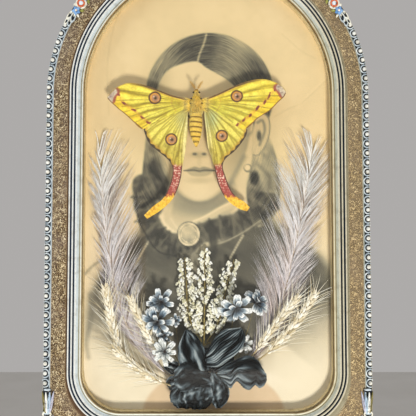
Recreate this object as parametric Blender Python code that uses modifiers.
"""A moth specimen in an arched, glazed frame, with a bouquet of dried grasses and flowers.

The frame hangs on a wall: the wall is the plane y = 0, the front looks along -Y, +Z is up.
The origin is the middle of the hanger's bar, on the wall. Shapes are laid out in
millimetres as (x, z, depth): x and z from the centre of the arch, depth forward from the wall.
"""

import math

import bmesh
import bpy
import numpy as np
from mathutils import Matrix, Vector

MM = 0.001
GAP = 0.3  # between pieces that touch

# The frame, driving dimensions in millimetres
OUTER_HALF = 156.5  # half the outer width, and the outer radius of the arch
MOULDING = 37.5  # width of the moulding, outer edge to sight edge
SIGHT_DROP = 305.0  # arch centre to the bottom sight edge
SIGHT_CORNER = 37.5  # radius of the bottom sight corners
HANGER_RISE = 85.0  # hanger above the arch centre
RABBET = 6.0  # width of the step that holds the glass and the boards
BAND_INNER = 23.4  # outer edge to the inner side of the pebbled band
CORNER_POWER = 8.0  # squareness of the outer corners, 2 is round

# Depths forward from the wall, in millimetres
BACKING = (3.3, 6.3)
PORTRAIT = (6.6, 8.5)
SPACER = (8.8, 16.0)
GLASS_BACK = 16.3
GLASS_THICK = 2.0
LIP_BACK = 18.6
PICTURE = PORTRAIT[1]

# The domed glass
DOME_INSET = 3.0  # from the sight edge to where the dome starts to rise
DOME_HEIGHT = 34.0
DOME_POWER = (3.0, 0.75)

# Moulding profile: (distance in from the outer edge, depth from the wall)
PROFILE = [
    (0.0, 0.0),
    (0.0, 14.5),
    (0.5, 17.4),
    (2.0, 19.2),
    (4.4, 19.4),
    (6.4, 17.2),
    (9.5, 18.6),
    (14.0, 20.8),
    (20.0, 21.9),
    (22.6, 21.4),
    (23.4, 20.6),
    (23.9, 22.4),
    (24.7, 23.6),
    (25.7, 22.9),
    (26.6, 21.9),
    (27.3, 23.4),
    (28.1, 24.4),
    (29.0, 23.4),
    (29.9, 22.3),
    (30.6, 23.9),
    (31.6, 25.0),
    (32.4, 24.2),
    (33.5, 22.4),
    (34.7, 21.2),
    (35.4, 22.1),
    (36.4, 22.5),
    (37.5, 21.3),
    (37.5, LIP_BACK),
    (MOULDING - RABBET, LIP_BACK),
    (MOULDING - RABBET, 0.0),
]

# The moth, in the arch's (x, z) millimetres
WING_DEPTH = PICTURE + 12.4
FORE_LIFT = 1.3  # forewings lie this far in front of the hindwings
WING_THICK = 0.7
FOREWING_LEFT = (
    [(-18.2, -8.2), (-33.6, -4.5), (-49.3, 1.3), (-62.3, 5.6), (-75.4, 7.2), (-83.2, 5.2),
     (-88.3, 2.0), (-93.5, -2.6), (-96.4, -5.4)],
    [(-18.6, -15.6), (-29.7, -21.4), (-41.3, -26.6), (-51.7, -31.0), (-62.7, -37.0),
     (-71.2, -29.9), (-79.1, -22.7), (-86.3, -16.9), (-92.8, -11.0), (-96.0, -7.4)],
)
FOREWING_RIGHT = (
    [(-3.6, -8.2), (10.7, -2.6), (26.3, 4.6), (39.4, 9.1), (52.4, 11.1), (62.8, 9.1),
     (71.9, 3.9), (75.4, -0.2)],
    [(-3.4, -15.6), (2.9, -17.5), (15.8, -25.3), (28.8, -35.0), (37.3, -36.6), (48.3, -26.6),
     (58.8, -20.1), (66.6, -12.3), (73.2, -6.0), (75.2, -2.4)],
)
HINDWING_LEFT = (  # the top edge, under the forewing, runs straight from one list to the other
    [(-61.2, -36.4), (-60.2, -41.0), (-55.5, -51.3), (-46.4, -59.1), (-37.3, -66.9), (-33.4, -74.3),
     (-34.7, -86.3), (-39.8, -99.2), (-43.6, -105.0), (-51.4, -110.8), (-60.4, -119.5)],
    [(-19.4, -14.0), (-19.2, -24.0), (-19.4, -40.9), (-21.8, -60.4), (-24.3, -73.3),
     (-25.6, -83.7), (-29.5, -96.6), (-35.9, -107.0), (-46.2, -116.0), (-57.5, -123.0)],
)
HINDWING_RIGHT = (
    [(38.2, -37.6), (37.0, -43.0), (32.7, -50.0), (26.2, -57.8), (17.1, -65.6), (14.5, -73.1),
     (17.1, -82.4), (20.9, -92.8), (26.1, -100.5), (35.1, -107.0), (40.2, -112.2)],
    [(-2.8, -14.0), (-3.0, -24.0), (-1.0, -40.9), (0.2, -52.6), (4.1, -65.6), (6.7, -74.6),
     (9.9, -88.9), (14.5, -99.2), (20.9, -107.0), (29.9, -113.4), (37.4, -115.8)],
)
BODY_DEPTH = WING_DEPTH + 0.8
BODY = [  # x, z, radius
    (-10.6, 2.0, 0.9), (-10.7, -0.3, 2.5), (-10.8, -3.4, 2.6), (-10.8, -5.2, 2.9),
    (-10.8, -8.0, 5.3), (-10.8, -12.5, 6.2), (-10.9, -17.0, 5.9), (-11.1, -20.0, 5.1),
    (-11.3, -25.0, 6.3), (-11.3, -32.0, 6.7), (-11.3, -39.0, 6.1), (-11.1, -45.0, 4.7),
    (-10.9, -50.0, 2.7), (-10.8, -54.0, 0.7),
]
ANTENNA_LEFT = [(-12.8, 1.8, 0.4), (-14.2, 4.2, 1.4), (-16.2, 7.2, 1.7), (-18.2, 10.2, 1.2), (-19.6, 12.4, 0.3)]
POST_RADIUS = 2.4
BODY_FOOT = BODY_DEPTH - 6.2  # the thorax's underside, where the post ends

# The grasses: axes from the base to the tip
PLUME_DEPTH = PICTURE + 3.3
PLUME_THICK = 4.6
PLUME_LOCKS = 24
PLUME_START = 0.14  # share of the axis that is bare stem
PLUME_LEFT = [(-30.5, -275.2), (-45.3, -265.9), (-72.1, -234.5), (-86.6, -201.1), (-94.6, -158.0),
              (-99.8, -119.5), (-104.0, -76.1), (-106.0, -45.1)]
PLUME_RIGHT = [(24.5, -277.0), (47.0, -250.7), (64.3, -220.2), (76.0, -186.7), (82.9, -157.0),
               (91.9, -114.7), (100.0, -71.3), (103.0, -44.2)]
WHEAT_DEPTH = PICTURE + 9.6
WHEAT_RADIUS = 3.6
WHEAT_EARS = {  # axis from the base to the awns' tips, share where the ear starts, extra depth
    "wheat_ear_left_outer": ([(-35.5, -277.0), (-52.0, -268.5), (-81.4, -245.9), (-90.3, -225.0),
                              (-96.8, -191.5), (-103.0, -162.0)], 0.40, 0.0),
    "wheat_ear_left_inner": ([(-29.5, -262.5), (-38.5, -255.0), (-52.0, -240.2), (-60.0, -225.8),
                              (-71.3, -203.9), (-80.0, -180.0)], 0.22, 0.0),
    "wheat_ear_left_low": ([(-34.5, -279.6), (-46.3, -275.0), (-60.5, -267.4), (-75.8, -256.0),
                            (-99.8, -233.0)], 0.12, 4.6),
    "wheat_ear_right_inner": ([(24.0, -262.0), (36.5, -258.0), (51.8, -241.0), (62.3, -225.8),
                               (82.5, -201.9), (98.0, -180.0)], 0.26, 0.0),
    "wheat_ear_right_outer": ([(27.0, -271.6), (44.2, -259.9), (61.5, -246.0), (81.6, -225.1),
                               (101.9, -195.4), (113.0, -171.4)], 0.28, 0.0),
}

# The white sprig: stem and its two main branches, as (x, z, radius)
SPRIG_DEPTH = PICTURE + 6.8
SPRIG_FLATNESS = 0.45
SPRIG = {
    "white_sprig_stem": [(-3.4, -243.0, 0.8), (-3.3, -234.0, 0.9), (-3.2, -229.0, 4.2),
                         (-3.2, -220.0, 7.0), (-3.0, -208.0, 7.6), (-2.9, -196.0, 7.6),
                         (-2.8, -184.0, 7.0), (-2.8, -172.0, 6.0), (-2.8, -160.0, 4.6), (-2.8, -149.0, 1.4)],
    "white_sprig_branch_left": [(-5.6, -240.0, 0.7), (-11.5, -231.0, 1.4), (-16.0, -221.0, 5.0),
                                (-19.6, -207.0, 8.4), (-19.8, -194.0, 8.0), (-20.6, -180.0, 7.4),
                                (-21.4, -168.0, 5.4), (-21.8, -158.0, 1.4)],
    "white_sprig_branch_right": [(-0.6, -240.0, 0.7), (5.5, -231.0, 1.4), (10.4, -221.0, 5.0),
                                 (14.6, -207.0, 8.8), (16.6, -194.0, 8.6), (20.0, -180.0, 7.8),
                                 (23.2, -169.0, 5.6), (26.0, -160.0, 1.4)],
}

# The small flowers: x, z, radius, depth of the cup's centre, tilt of the face (right, up) in degrees
FLOWERS = {
    "blue_flower_left_top": (-43.7, -200.5, 11.0, PICTURE + 12.8, (-10, 34)),
    "blue_flower_left_middle": (-47.5, -218.4, 11.0, PICTURE + 17.0, (-22, 6)),
    "blue_flower_left_small": (-31.0, -219.2, 6.2, PICTURE + 13.0, (14, 18)),
    "blue_flower_left_low": (-40.2, -232.6, 8.6, PICTURE + 13.0, (-8, -24)),
    "pale_flower_left_bottom": (-39.8, -248.6, 11.6, PICTURE + 17.2, (-12, -10)),
    "blue_flower_right_large": (25.4, -210.0, 13.2, PICTURE + 16.8, (4, -14)),
    "blue_flower_right_top": (44.2, -201.0, 11.6, PICTURE + 12.8, (16, 26)),
    "pale_flower_right_low": (36.0, -243.5, 7.6, PICTURE + 8.6, (18, -10)),
}
FLOWER_PETALS = 10
PETAL_THICK = 0.6

# The black fabric leaves: one edge and the other, base to tip, with the depth at base, middle, tip
LEAVES = {
    "black_leaf_upper_left": (
        [(-20.8, -272.4), (-26.2, -258.8), (-27.4, -242.9), (-20.8, -227.6)],
        [(-1.9, -270.7), (-2.2, -253.1), (-4.3, -241.8), (-11.3, -231.6), (-18.9, -227.2)],
        (17.4, 20.4, 15.4)),
    "black_leaf_upper_right": (
        [(-1.0, -247.0), (7.4, -233.9), (17.0, -226.6), (31.0, -225.4)],
        [(-0.6, -260.6), (9.0, -261.2), (17.9, -255.8), (30.2, -245.8), (35.6, -236.2), (33.4, -227.2)],
        (17.6, 18.8, 15.4)),
    "black_leaf_lobed_right": (
        [(9.0, -265.0), (18.0, -259.4), (28.2, -254.2), (39.5, -250.9), (47.5, -256.5), (51.5, -263.3),
         (55.4, -270.0)],
        [(10.0, -272.0), (17.0, -272.6), (25.9, -277.4), (34.9, -279.8), (44.5, -280.4), (52.0, -280.0),
         (55.4, -275.0)],
        (14.0, 15.4, 12.8)),
    "black_leaf_small_left": (
        [(-27.4, -258.0), (-35.0, -256.5), (-41.6, -259.9)],
        [(-27.2, -269.0), (-33.0, -269.5), (-38.0, -266.5), (-41.6, -262.2)],
        (13.2, 14.0, 13.4)),
    "black_leaf_behind": (
        [(-26.0, -272.5), (-23.0, -262.0), (-14.0, -250.0), (-2.0, -245.0), (12.0, -247.5), (25.0, -253.5)],
        [(-22.0, -273.2), (-14.0, -268.6), (-4.0, -267.0), (8.0, -266.5), (18.0, -262.5), (25.0, -257.5)],
        (10.8, 13.0, 11.0)),
    "black_rose_flap_right": (
        [(2.6, -268.6), (-4.5, -275.5), (-12.5, -284.0), (-15.5, -291.0)],
        [(4.8, -268.4), (12.2, -274.0), (16.0, -282.0), (13.0, -291.0)],
        (17.2, 18.2, 16.9)),
    "black_rose_flap_left": (
        [(-23.2, -276.0), (-31.0, -283.0), (-32.2, -289.5), (-27.3, -295.0)],
        [(-13.4, -275.4), (-15.5, -282.0), (-18.8, -290.0), (-20.6, -295.6)],
        (15.4, 16.9, 14.4)),
}
LEAF_THICK = 0.8
ROSE = (-8.0, -286.2, PICTURE + 7.9)  # centre
ROSE_HALF = (25.8, 15.4, 7.4)  # half width, half height, half depth

# Ornaments on the frame: (kind of lump, distance along, distance in from the outer edge, half sizes)
SPRAY_ANGLE = 144.8  # of the left spray's middle, in degrees round the arch
SPRAY_LUMPS = [
    (0.0, 4.6, (3.4, 3.4, 3.2)),
    (9.3, 4.6, (4.2, 4.0, 3.0)),
    (-9.3, 4.6, (4.2, 4.0, 3.0)),
    (17.0, 4.4, (6.0, 3.0, 2.2)),
    (-17.0, 4.4, (6.0, 3.0, 2.2)),
    (5.0, 8.6, (4.6, 2.2, 1.8)),
    (-5.0, 8.6, (4.6, 2.2, 1.8)),
    (0.0, 2.8, (14.0, 2.2, 2.2)),
]
CORNER_LUMPS = [  # distance up from the outer corner along each arm
    (45.0, 5.6, (12.5, 5.0, 4.2)),
    (27.0, 5.6, (8.5, 4.4, 3.8)),
    (33.5, 5.2, (10.0, 2.6, 3.0)),
]
CORNER_BOSS = (9.4, (8.6, 8.6, 4.6))
ORNAMENT_DEPTH = 20.4


def clear_scene():
    for obj in list(bpy.data.objects):
        bpy.data.objects.remove(obj, do_unlink=True)


def collection(name):
    made = bpy.data.collections.new(name)
    bpy.context.scene.collection.children.link(made)
    return made


def material(name, colour, roughness, metallic=0.0, alpha=1.0):
    made = bpy.data.materials.new(name)
    made.use_nodes = True
    shader = made.node_tree.nodes["Principled BSDF"]
    shader.inputs["Base Color"].default_value = (*colour, 1.0)
    shader.inputs["Roughness"].default_value = roughness
    shader.inputs["Metallic"].default_value = metallic
    shader.inputs["Alpha"].default_value = alpha
    return made


def world(x, z, depth):
    """A point of the layout, in metres in the part's own frame."""
    return Vector((x * MM, -depth * MM, (z - HANGER_RISE) * MM))


def smooth_path(points, count):
    """Count points, evenly spaced along a smooth curve through the given ones."""
    known = np.array(points, float)
    padded = np.vstack([2 * known[0] - known[1], known, 2 * known[-1] - known[-2]])
    dense = []
    for i in range(len(known) - 1):
        a, b, c, d = padded[i : i + 4]
        for t in np.linspace(0, 1, 24, endpoint=False):
            dense.append(
                0.5 * (2 * b + (c - a) * t + (2 * a - 5 * b + 4 * c - d) * t**2
                       + (3 * b - a - 3 * c + d) * t**3)
            )
    dense = np.array(dense + [known[-1]])
    run = np.concatenate([[0], np.cumsum(np.linalg.norm(np.diff(dense[:, :2], axis=0), axis=1))])
    wanted = np.linspace(0, run[-1], count)
    return np.stack([np.interp(wanted, run, dense[:, k]) for k in range(dense.shape[1])], axis=1)


def add_mesh(name, bm, mat, group, smooth_angle=40):
    bmesh.ops.recalc_face_normals(bm, faces=bm.faces)
    mesh = bpy.data.meshes.new(name)
    bm.to_mesh(mesh)
    bm.free()
    mesh.shade_smooth()
    mesh.set_sharp_from_angle(angle=math.radians(smooth_angle))
    mesh.materials.append(mat)
    obj = bpy.data.objects.new(name, mesh)
    group.objects.link(obj)
    return obj


def skin(rows, closed_rows, closed_columns):
    """A mesh over a grid of points, joined up at its ends where a direction is closed."""
    bm = bmesh.new()
    verts = [[bm.verts.new(p) for p in row] for row in rows]
    n, m = len(verts), len(verts[0])
    for i in range(n if closed_rows else n - 1):
        for j in range(m if closed_columns else m - 1):
            a, b = verts[i], verts[(i + 1) % n]
            bm.faces.new((a[j], a[(j + 1) % m], b[(j + 1) % m], b[j]))
    return bm


def ring_stations(arch_steps, corner_steps, side_steps):
    """Stations round the frame: centre x, centre z, direction x, direction z, reach to the outer edge."""
    found = []
    for i in range(arch_steps + 1):
        angle = math.pi * i / arch_steps
        found.append((0.0, 0.0, math.cos(angle), math.sin(angle), OUTER_HALF))
    corner_z = -SIGHT_DROP + SIGHT_CORNER
    corner_x = OUTER_HALF - MOULDING - SIGHT_CORNER
    reach = SIGHT_CORNER + MOULDING
    for i in range(1, side_steps):
        found.append((0.0, corner_z * i / side_steps, -1.0, 0.0, OUTER_HALF))
    for side, start in ((-1, math.pi), (1, 1.5 * math.pi)):
        for i in range(corner_steps + 1):
            angle = start + 0.5 * math.pi * i / corner_steps
            found.append((side * corner_x, corner_z, math.cos(angle), math.sin(angle), reach))
    for i in range(side_steps - 1, 0, -1):
        found.append((0.0, corner_z * i / side_steps, 1.0, 0.0, OUTER_HALF))
    return found


def ring_point(station, inward):
    """(x, z) at a station, that far in from the outer edge. The outer corners are nearly square."""
    cx, cz, ux, uz, reach = station
    power = 2.0
    if reach < OUTER_HALF:
        power += (CORNER_POWER - 2.0) * max(0.0, 1 - inward / BAND_INNER)
    norm = (abs(ux) ** power + abs(uz) ** power) ** (1 / power)
    return cx + ux * (reach - inward) / norm, cz + uz * (reach - inward) / norm


def swept_ring(profile, lift=0.0):
    """A mesh of a closed profile carried round the frame."""
    rows = []
    for station in ring_stations(24, 6, 1):
        rows.append([world(*ring_point(station, s), d + lift) for s, d in profile])
    return skin(rows, True, True)


def arched_board(name, inward, depths, mat, group):
    """A flat board with the frame's outline, that far in from its outer edge."""
    curve = bpy.data.curves.new(name, "CURVE")
    curve.dimensions = "2D"
    curve.fill_mode = "BOTH"
    curve.extrude = 0.5 * (depths[1] - depths[0]) * MM
    spline = curve.splines.new("POLY")
    outline = [ring_point(s, inward) for s in ring_stations(24, 6, 1)]
    spline.points.add(len(outline) - 1)
    for point, (x, z) in zip(spline.points, outline):
        point.co = (x * MM, (z - HANGER_RISE) * MM, 0.0, 1.0)
    spline.use_cyclic_u = True
    curve.materials.append(mat)
    obj = bpy.data.objects.new(name, curve)
    obj.rotation_euler = (math.radians(90), 0, 0)
    obj.location.y = -0.5 * (depths[0] + depths[1]) * MM
    group.objects.link(obj)
    return obj


def dome_rise(share):
    """Height of the dome above its flange, share 0 at its edge and 1 on its spine."""
    a, b = DOME_POWER
    return DOME_HEIGHT * (1 - (1 - share) ** a) ** b


def glass_dome(name, mat, group):
    stations = ring_stations(24, 5, 4)
    edge = MOULDING + DOME_INSET
    spine_low = -SIGHT_DROP + OUTER_HALF - MOULDING
    rows = [[world(*ring_point(s, MOULDING - RABBET + 0.5), GLASS_BACK) for s in stations]]
    for share in (0.0, 0.04, 0.12, 0.24, 0.42, 0.68, 1.0):
        row = []
        for s in stations:
            x, z = ring_point(s, edge)
            spine_z = min(0.0, max(spine_low, z))
            row.append(world(x * (1 - share), z + (spine_z - z) * share, GLASS_BACK + dome_rise(share)))
        rows.append(row)
    bm = skin(rows, False, True)
    bmesh.ops.remove_doubles(bm, verts=bm.verts, dist=0.02 * MM)
    bmesh.ops.dissolve_degenerate(bm, edges=bm.edges, dist=0.02 * MM)
    obj = add_mesh(name, bm, mat, group)
    if sum(p.normal.y for p in obj.data.polygons) > 0:
        obj.data.flip_normals()
    wall = obj.modifiers.new("wall", "SOLIDIFY")
    wall.thickness = GLASS_THICK * MM
    wall.offset = 1.0
    return obj


def sheet(name, edges, depth_at, rungs, across, thickness, mat, group):
    """A thin sheet between two edges, laid out as rungs from one to the other."""
    first, second = (smooth_path(edge, rungs) for edge in edges)
    rows = []
    for i in range(rungs):
        row = []
        for j in range(across):
            u, v = i / (rungs - 1), j / (across - 1)
            x, z = first[i] * (1 - v) + second[i] * v
            row.append(world(x, z, depth_at(x, z, u, v)))
        rows.append(row)
    obj = add_mesh(name, skin(rows, False, False), mat, group, 60)
    wall = obj.modifiers.new("wall", "SOLIDIFY")
    wall.thickness = thickness * MM
    wall.offset = 0.0
    return obj


def stalk(name, points, depth, sides_level, mat, group, flatness=1.0):
    """A round stalk or body along (x, z, radius) points, flattened in depth where asked."""
    curve = bpy.data.curves.new(name, "CURVE")
    curve.dimensions = "3D"
    curve.bevel_depth = MM
    curve.bevel_resolution = sides_level
    curve.use_fill_caps = True
    spline = curve.splines.new("POLY")
    spline.points.add(len(points) - 1)
    for point, (x, z, radius) in zip(spline.points, points):
        here = world(x, z, 0.0)
        point.co = (*here, 1.0)
        point.radius = radius
    curve.materials.append(mat)
    obj = bpy.data.objects.new(name, curve)
    obj.location.y = -depth * MM
    obj.scale.y = flatness
    group.objects.link(obj)
    return obj


def wing_depth(lift):
    """The wings rise a little from the body and droop again towards their tips."""

    def depth(x, z, u, v):
        out = abs(x - BODY[5][0]) / 86.0
        return WING_DEPTH + lift + 2.2 * math.sin(math.pi * min(1.0, out) * 0.8)

    return depth


def moth(mats, group):
    for name, edges, lift, rungs in (
        ("forewing_left", FOREWING_LEFT, FORE_LIFT, 15),
        ("forewing_right", FOREWING_RIGHT, FORE_LIFT, 15),
        ("hindwing_left", HINDWING_LEFT, 0.0, 20),
        ("hindwing_right", HINDWING_RIGHT, 0.0, 20),
    ):
        sheet(name, edges, wing_depth(lift), rungs, 4, WING_THICK, mats["wing"], group)
    body = [tuple(p) for p in BODY]
    stalk("moth_body", body, BODY_DEPTH, 3, mats["fur"], group)
    middle = BODY[5][0]
    right = [(2 * middle - x, z, r) for x, z, r in ANTENNA_LEFT]
    stalk("antenna_left", ANTENNA_LEFT, BODY_DEPTH, 1, mats["fur"], group, 0.4)
    stalk("antenna_right", right, BODY_DEPTH, 1, mats["fur"], group, 0.4)
    length = (BODY_FOOT - GAP - PICTURE - GAP) * MM
    bpy.ops.mesh.primitive_cylinder_add(
        vertices=16, radius=POST_RADIUS * MM, depth=length, rotation=(math.radians(90), 0, 0),
        location=world(middle, BODY[5][1], PICTURE + GAP + 0.5 * length / MM),
    )
    post = bpy.context.object
    post.name = "mounting_post"
    post.data.materials.append(mats["cork"])
    for other in post.users_collection:
        other.objects.unlink(post)
    group.objects.link(post)


def plume(name, axis, inner_reach, outer_reach, mat, group):
    """A feathery plume as a blade, thickest on its axis, with swept locks down both edges."""
    path = smooth_path(axis, 241)
    tangent = np.gradient(path, axis=0)
    tangent /= np.linalg.norm(tangent, axis=1)[:, None]
    normal = np.stack([-tangent[:, 1], tangent[:, 0]], axis=1)
    stations = [(0.0, 1.0)]
    for i in range(PLUME_LOCKS):
        for step, depth in ((0.1, 0.72), (0.85, 1.0)):
            stations.append((PLUME_START + (1 - PLUME_START) * (i + step) / PLUME_LOCKS, depth))
    rows = []
    for u, depth in stations:
        k = round(240 * u)
        swell = max(0.0, min(1.0, (u - 0.10) / 0.42)) * min(1.0, (1.03 - u) / 0.13)
        left = path[k] + normal[k] * max(1.2, outer_reach * depth * swell)
        right = path[k] - normal[k] * max(1.2, inner_reach * depth * swell)
        half = 0.5 * PLUME_THICK * (0.35 + 0.65 * swell)
        rows.append([world(*left, PLUME_DEPTH), world(*path[k], PLUME_DEPTH + half),
                     world(*right, PLUME_DEPTH), world(*path[k], PLUME_DEPTH - half)])
    bm = skin(rows, False, True)
    bm.verts.ensure_lookup_table()
    bm.faces.new(bm.verts[0:4])
    bm.faces.new(bm.verts[-4:])
    return add_mesh(name, bm, mat, group, 60)


def wheat_ear(name, axis, ear_start, depth, mat, group):
    """A stalk, an ear with a bulge for each pair of grains, and its awns drawn to a point."""
    rings = 30
    path = smooth_path(axis, rings)
    points = []
    for i, (x, z) in enumerate(path):
        u = i / (rings - 1)
        if u < ear_start:
            radius = 0.7
        elif u < 0.86:
            along = (u - ear_start) / (0.86 - ear_start)
            swell = min(1.0, 5 * along + 0.3) * (1 - 0.45 * along**3)
            radius = WHEAT_RADIUS * swell * (1.0 + 0.14 * (-1) ** i)
        else:
            radius = 2.4 * (1 - u) / 0.14 + 0.3
        points.append((x, z, radius))
    stalk(name, points, depth, 0, mat, group, 0.55)


def flower(name, spec, mat, group):
    """A cupped flower: a lobed sheet, tilted so that its face looks the way it should."""
    x, z, radius, depth, (turn, lift) = spec
    rows = []
    count = 2 * FLOWER_PETALS
    for share, cup in ((0.45, 0.06), (1.0, 0.30)):
        row = []
        for k in range(count):
            angle = math.pi * k / FLOWER_PETALS
            reach = radius * share * (1.0 if k % 2 else 1.0 - 0.34 * share)
            row.append(Vector((reach * math.cos(angle), -radius * cup, reach * math.sin(angle))) * MM)
        rows.append(row)
    bm = skin(rows, False, True)
    hub = bm.verts.new((0.0, radius * 0.03 * MM, 0.0))
    bm.verts.ensure_lookup_table()
    for k in range(count):
        bm.faces.new((bm.verts[k], bm.verts[(k + 1) % count], hub))
    obj = add_mesh(name, bm, mat, group, 60)
    tilt = Matrix.Rotation(math.radians(turn), 4, "Z") @ Matrix.Rotation(math.radians(-lift * 0.5), 4, "X")
    obj.data.transform(tilt)
    obj.location = world(x, z, depth)
    wall = obj.modifiers.new("wall", "SOLIDIFY")
    wall.thickness = PETAL_THICK * MM
    wall.offset = 0.0
    return obj


def leaf_depth(depths):
    """Depth over a fabric leaf: base, middle and tip, with pleats running along it."""
    base, middle, tip = depths

    def depth(x, z, u, v):
        along = base * (1 - u) * (1 - 2 * u) + 4 * middle * u * (1 - u) + tip * u * (2 * u - 1)
        pleat = 0.55 * math.cos(2 * 2 * math.pi * v) * math.sin(math.pi * min(1, 0.15 + u))
        return PICTURE + along + pleat

    return depth


def rose(name, mat, group):
    """The crumpled black rose that the stems run into."""
    bm = bmesh.new()
    bmesh.ops.create_icosphere(bm, subdivisions=3, radius=1.0)
    half = Vector(ROSE_HALF)
    for vert in bm.verts:
        n = vert.co.normalized()
        folds = 1 - 0.07 * (0.5 + 0.5 * math.cos(9 * math.atan2(n.y, n.x) + 4 * n.z))
        spot = Vector((n.x * half.x, n.y * half.y, n.z * half.z)) * folds
        vert.co = world(ROSE[0] + spot.x, ROSE[1] + spot.y, ROSE[2] + spot.z)
    return add_mesh(name, bm, mat, group)


def to_frame(along_x, along_z, across_x, across_z, x, z):
    """A matrix that lays local X along the frame's edge, local Y inward and local Z forward."""
    turn = Matrix.Identity(4)
    turn.col[0] = (along_x, 0.0, along_z, 0.0)
    turn.col[1] = (across_x, 0.0, across_z, 0.0)
    turn.col[2] = (0.0, -1.0, 0.0, 0.0)
    return Matrix.Translation(world(x, z, ORNAMENT_DEPTH)) @ turn


def ornament(name, lumps, cutter, mat, group, helpers):
    """Cast lumps, joined in one and cut to sit on the moulding. Each is a matrix and half sizes."""
    made = []
    for i, (place, half) in enumerate(lumps):
        bm = bmesh.new()
        bmesh.ops.create_uvsphere(bm, u_segments=8, v_segments=5, radius=1.0)
        size = Matrix.Diagonal((half[0] * MM, half[1] * MM, half[2] * MM, 1.0))
        bmesh.ops.transform(bm, matrix=place @ size, verts=bm.verts)
        home = group if i == 0 else helpers
        made.append(add_mesh(name if i == 0 else f"{name}_lump_{i}", bm, mat, home))
    for i, other in enumerate(made[1:] + [cutter]):
        other.hide_render = True
        other.display_type = "WIRE"
        step = made[0].modifiers.new(f"step_{i}", "BOOLEAN")
        step.operation = "DIFFERENCE" if other is cutter else "UNION"
        step.object = other
    return made[0]


def spray_lumps(side):
    """Florets and leaves in a row round the arch, on one side."""
    found = []
    middle = math.radians(SPRAY_ANGLE if side < 0 else 180 - SPRAY_ANGLE)
    for along, inward, half in SPRAY_LUMPS:
        reach = OUTER_HALF - inward
        angle = middle + along / reach
        x, z = reach * math.cos(angle), reach * math.sin(angle)
        place = to_frame(-math.sin(angle), math.cos(angle), -math.cos(angle), -math.sin(angle), x, z)
        found.append((place, half))
    return found


def corner_lumps(side):
    """Husks up both arms of a bottom corner, and a boss on the corner."""
    corner_x, corner_z = side * OUTER_HALF, -SIGHT_DROP - MOULDING
    found = []
    inward, half = CORNER_BOSS
    found.append((to_frame(1, 0, 0, 1, corner_x - side * inward, corner_z + inward), half))
    for along, inward, half in CORNER_LUMPS:
        found.append((to_frame(0, 1, -side, 0, corner_x - side * inward, corner_z + along), half))
        found.append((to_frame(1, 0, 0, 1, corner_x - side * along, corner_z + inward), half))
    # A bridge from the boss to each arm keeps the casting in one piece.
    for dx, dz in ((6.0, 18.0), (18.0, 6.0)):
        arm = (3.2, 8.0) if dz > dx else (8.0, 3.2)
        found.append((to_frame(1, 0, 0, 1, corner_x - side * dx, corner_z + dz), (arm[0], arm[1], 3.2)))
    return found


def hanger(mat, group):
    """A strip with sawteeth, bent forward at both ends to lie on the backing board."""
    half, foot, bend, strip, tooth = 22.0, 8.0, 3.0, 6.0, 1.6
    lower = []
    upper = []
    teeth = 9
    span = 2 * (half - foot - bend)
    profile = [(-half, 2.2), (-half + foot, 2.2)]
    profile += [(-half + foot + bend + span * i / (2 * teeth), 0.0) for i in range(2 * teeth + 1)]
    profile += [(half - foot, 2.2), (half, 2.2)]
    for i, (x, d) in enumerate(profile):
        notch = tooth if (i % 2 == 1 and 2 < i < len(profile) - 3) else 0.0
        lower.append((x, -0.5 * strip + notch, d))
        upper.append((x, 0.5 * strip, d))
    rows = []
    for (x, zl, d), (_, zu, _) in zip(lower, upper):
        back, front = d, d + 0.8
        rows.append([world(x, HANGER_RISE + zl, back), world(x, HANGER_RISE + zu, back),
                     world(x, HANGER_RISE + zu, front), world(x, HANGER_RISE + zl, front)])
    bm = skin(rows, False, True)
    bm.verts.ensure_lookup_table()
    bm.faces.new(bm.verts[0:4])
    bm.faces.new(bm.verts[-4:])
    return add_mesh("sawtooth_hanger", bm, mat, group)


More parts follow.
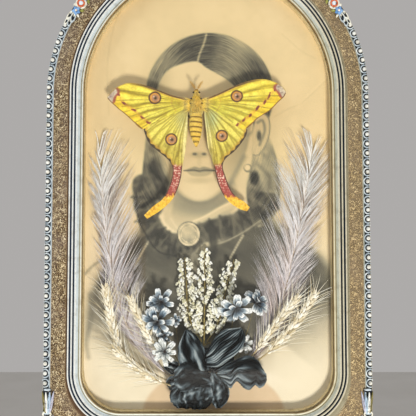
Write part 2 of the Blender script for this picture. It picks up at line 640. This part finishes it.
def main():
    clear_scene()
    parts = collection("framed_moth_specimen")
    helpers = collection("cutters")
    helpers.hide_render = True
    mats = {
        "gilt": material("aged_gilt", (0.47, 0.39, 0.27), 0.5, 0.3),
        "compo": material("painted_casting", (0.72, 0.74, 0.74), 0.45, 0.2),
        "wood": material("stained_wood", (0.38, 0.25, 0.13), 0.6),
        "card": material("tinted_portrait", (0.80, 0.69, 0.50), 0.8),
        "glass": material("clear_glass", (0.9, 0.95, 0.95), 0.03, 0.0, 0.2),
        "steel": material("zinc_steel", (0.6, 0.6, 0.6), 0.35, 1.0),
        "wing": material("moth_wing", (0.80, 0.70, 0.12), 0.65),
        "fur": material("moth_fur", (0.76, 0.60, 0.20), 0.85),
        "cork": material("cork", (0.55, 0.38, 0.22), 0.9),
        "plume": material("pampas_plume", (0.72, 0.65, 0.63), 0.8),
        "wheat": material("dried_wheat", (0.83, 0.75, 0.55), 0.75),
        "white": material("bleached_sprig", (0.88, 0.87, 0.75), 0.8),
        "blue": material("dusty_blue_petal", (0.42, 0.49, 0.55), 0.8),
        "pale": material("pale_petal", (0.70, 0.70, 0.67), 0.8),
        "black": material("black_fabric", (0.035, 0.037, 0.045), 0.7),
    }

    add_mesh("moulding", swept_ring(PROFILE), mats["gilt"], parts, 35)
    arched_board("backing_board", MOULDING - RABBET + 0.5, BACKING, mats["wood"], parts)
    arched_board("portrait_board", MOULDING - RABBET + 0.5, PORTRAIT, mats["card"], parts)
    spacer_in, spacer_out = MOULDING - 0.2, MOULDING - RABBET + 0.5
    spacer = [(spacer_out, SPACER[0]), (spacer_out, SPACER[1]), (spacer_in, SPACER[1]), (spacer_in, SPACER[0])]
    add_mesh("spacer_ring", swept_ring(spacer), mats["wood"], parts, 35)
    glass_dome("glass_dome", mats["glass"], parts)
    hanger(mats["steel"], parts)

    cutter = add_mesh("moulding_cutter", swept_ring(PROFILE, GAP), mats["gilt"], helpers)
    for side, word in ((-1, "left"), (1, "right")):
        ornament(f"floret_spray_{word}", spray_lumps(side), cutter, mats["compo"], parts, helpers)
        ornament(f"corner_husk_{word}", corner_lumps(side), cutter, mats["compo"], parts, helpers)

    moth(mats, parts)

    plume("pampas_plume_left", PLUME_LEFT, 25.0, 9.5, mats["plume"], parts)
    plume("pampas_plume_right", PLUME_RIGHT, 13.0, 25.0, mats["plume"], parts)
    for name, (axis, ear_start, forward) in WHEAT_EARS.items():
        wheat_ear(name, axis, ear_start, WHEAT_DEPTH + forward, mats["wheat"], parts)
    for name, points in SPRIG.items():
        stalk(name, points, SPRIG_DEPTH, 2, mats["white"], parts, SPRIG_FLATNESS)
    for name, spec in FLOWERS.items():
        flower(name, spec, mats["blue" if name.startswith("blue") else "pale"], parts)
    for name, (first, second, depths) in LEAVES.items():
        sheet(name, (first, second), leaf_depth(depths), 8, 5, LEAF_THICK, mats["black"], parts)
    rose("black_rose", mats["black"], parts)


main()
